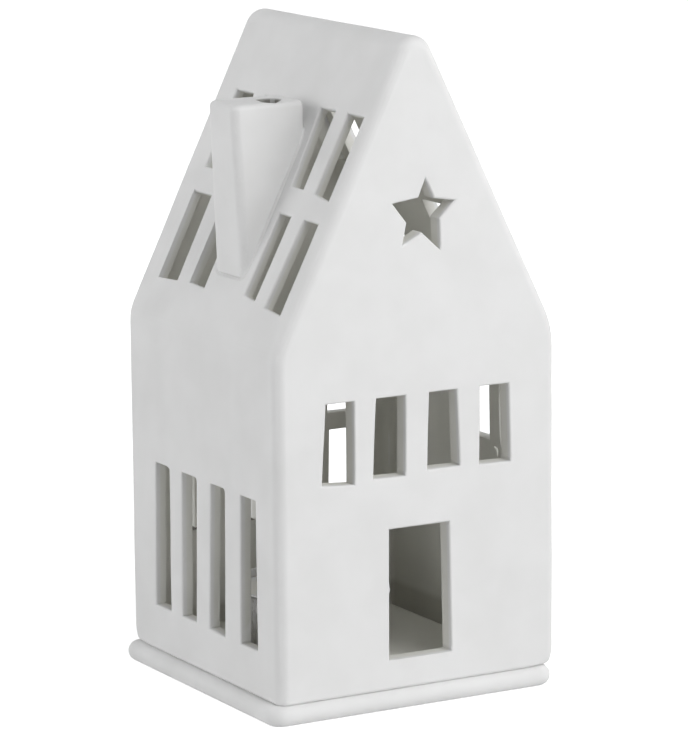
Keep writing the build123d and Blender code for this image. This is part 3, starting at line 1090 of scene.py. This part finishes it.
def buildFloor():
    material = bpy.data.materials.new("paleFloor")
    material.use_nodes = True
    tree = material.node_tree
    tree.nodes.remove(tree.nodes["Principled BSDF"])
    output = tree.nodes["Material Output"].inputs["Surface"]
    plain = addNode(tree, "ShaderNodeBsdfDiffuse")
    plain.inputs["Color"].default_value = studio["floorTone"]
    white = addNode(tree, "ShaderNodeBsdfDiffuse")
    white.inputs["Color"].default_value = studio["shownTone"]
    glow = addNode(tree, "ShaderNodeEmission")
    reach = addNode(tree, "ShaderNodeVectorMath", operation="LENGTH")
    feed(tree, addNode(tree, "ShaderNodeTexCoord").outputs["Object"], reach.inputs[0])
    strength = ramped(tree, reach.outputs["Value"], *studio["glowReach"], *studio["glow"])
    feed(tree, strength, glow.inputs["Strength"])
    both = addNode(tree, "ShaderNodeAddShader")
    tree.links.new(white.outputs[0], both.inputs[0])
    tree.links.new(glow.outputs[0], both.inputs[1])
    shadingFor(tree, plain.outputs[0], both.outputs[0], output)
    bm = bmesh.new()
    bmesh.ops.create_grid(bm, x_segments=2, y_segments=2, size=studio["floorSize"] / 2)
    mesh = bpy.data.meshes.new("floor")
    bm.to_mesh(mesh)
    bm.free()
    floor = bpy.data.objects.new("floor", mesh)
    mesh.materials.append(material)
    bpy.context.collection.objects.link(floor)


def buildWorld():
    world = bpy.data.worlds.new("studio")
    bpy.context.scene.world = world
    world.use_nodes = True
    tree = world.node_tree
    lit = tree.nodes["Background"]
    lit.inputs["Color"].default_value = studio["worldTone"]
    lit.inputs["Strength"].default_value = studio["worldStrength"]
    shown = addNode(tree, "ShaderNodeBackground")
    shown.inputs["Color"].default_value = studio["shownTone"]
    shadingFor(tree, lit.outputs[0], shown.outputs[0], tree.nodes["World Output"].inputs["Surface"])


def directionFrom(azimuth, elevation):
    around = math.radians(azimuth)
    above = math.radians(elevation)
    return Vector((math.sin(around) * math.cos(above), -math.cos(around) * math.cos(above), math.sin(above)))


def buildLamps():
    for name, azimuth, elevation, power in studio["lamps"]:
        light = bpy.data.lights.new(name, "AREA")
        light.shape = "SQUARE"
        light.size = studio["lampSize"]
        light.energy = power
        lamp = bpy.data.objects.new(name, light)
        towards = directionFrom(azimuth, elevation)
        lamp.location = houseMiddle + towards * studio["lampDistance"]
        lamp.rotation_mode = "QUATERNION"
        lamp.rotation_quaternion = (-towards).to_track_quat("-Z", "Y")
        lamp.visible_camera = False
        bpy.context.collection.objects.link(lamp)


photoView = {
    "azimuth": -29.51,
    "elevation": 10.86,
    "roll": -0.53,
    "distance": 1.04142,
    "aimAcross": 1.32 * mm,
    "aimHeight": 77.77 * mm,
    "focalPixels": 4204.73,
    "imageHeight": 732,
    "sensorWidth": 36.0,
    "clipStart": 0.05,
    "clipEnd": 20,
}


def buildCamera():
    view = photoView
    camera = bpy.data.objects.new("photoCamera", bpy.data.cameras.new("photoCamera"))
    bpy.context.collection.objects.link(camera)
    azimuth = math.radians(view["azimuth"])
    back = directionFrom(view["azimuth"], view["elevation"])
    right = Vector((math.cos(azimuth), math.sin(azimuth), 0))
    aim = Vector((houseMiddle.x, houseMiddle.y, 0)) + right * view["aimAcross"]
    aim.z = view["aimHeight"]
    upward = back.cross(right)
    roll = math.radians(view["roll"])
    turnedRight = right * math.cos(roll) + upward * math.sin(roll)
    turnedUp = upward * math.cos(roll) - right * math.sin(roll)
    place = aim + back * view["distance"]
    turned = Matrix((turnedRight, turnedUp, back)).transposed().to_4x4()
    camera.matrix_world = Matrix.Translation(place) @ turned
    camera.data.sensor_width = view["sensorWidth"]
    camera.data.lens = view["sensorWidth"] * view["focalPixels"] / view["imageHeight"]
    camera.data.clip_start = view["clipStart"]
    camera.data.clip_end = view["clipEnd"]
    bpy.context.scene.camera = camera


buildFloor()
buildWorld()
buildLamps()
buildCamera()
bpy.context.scene.view_settings.view_transform = "Standard"
print("studio built")
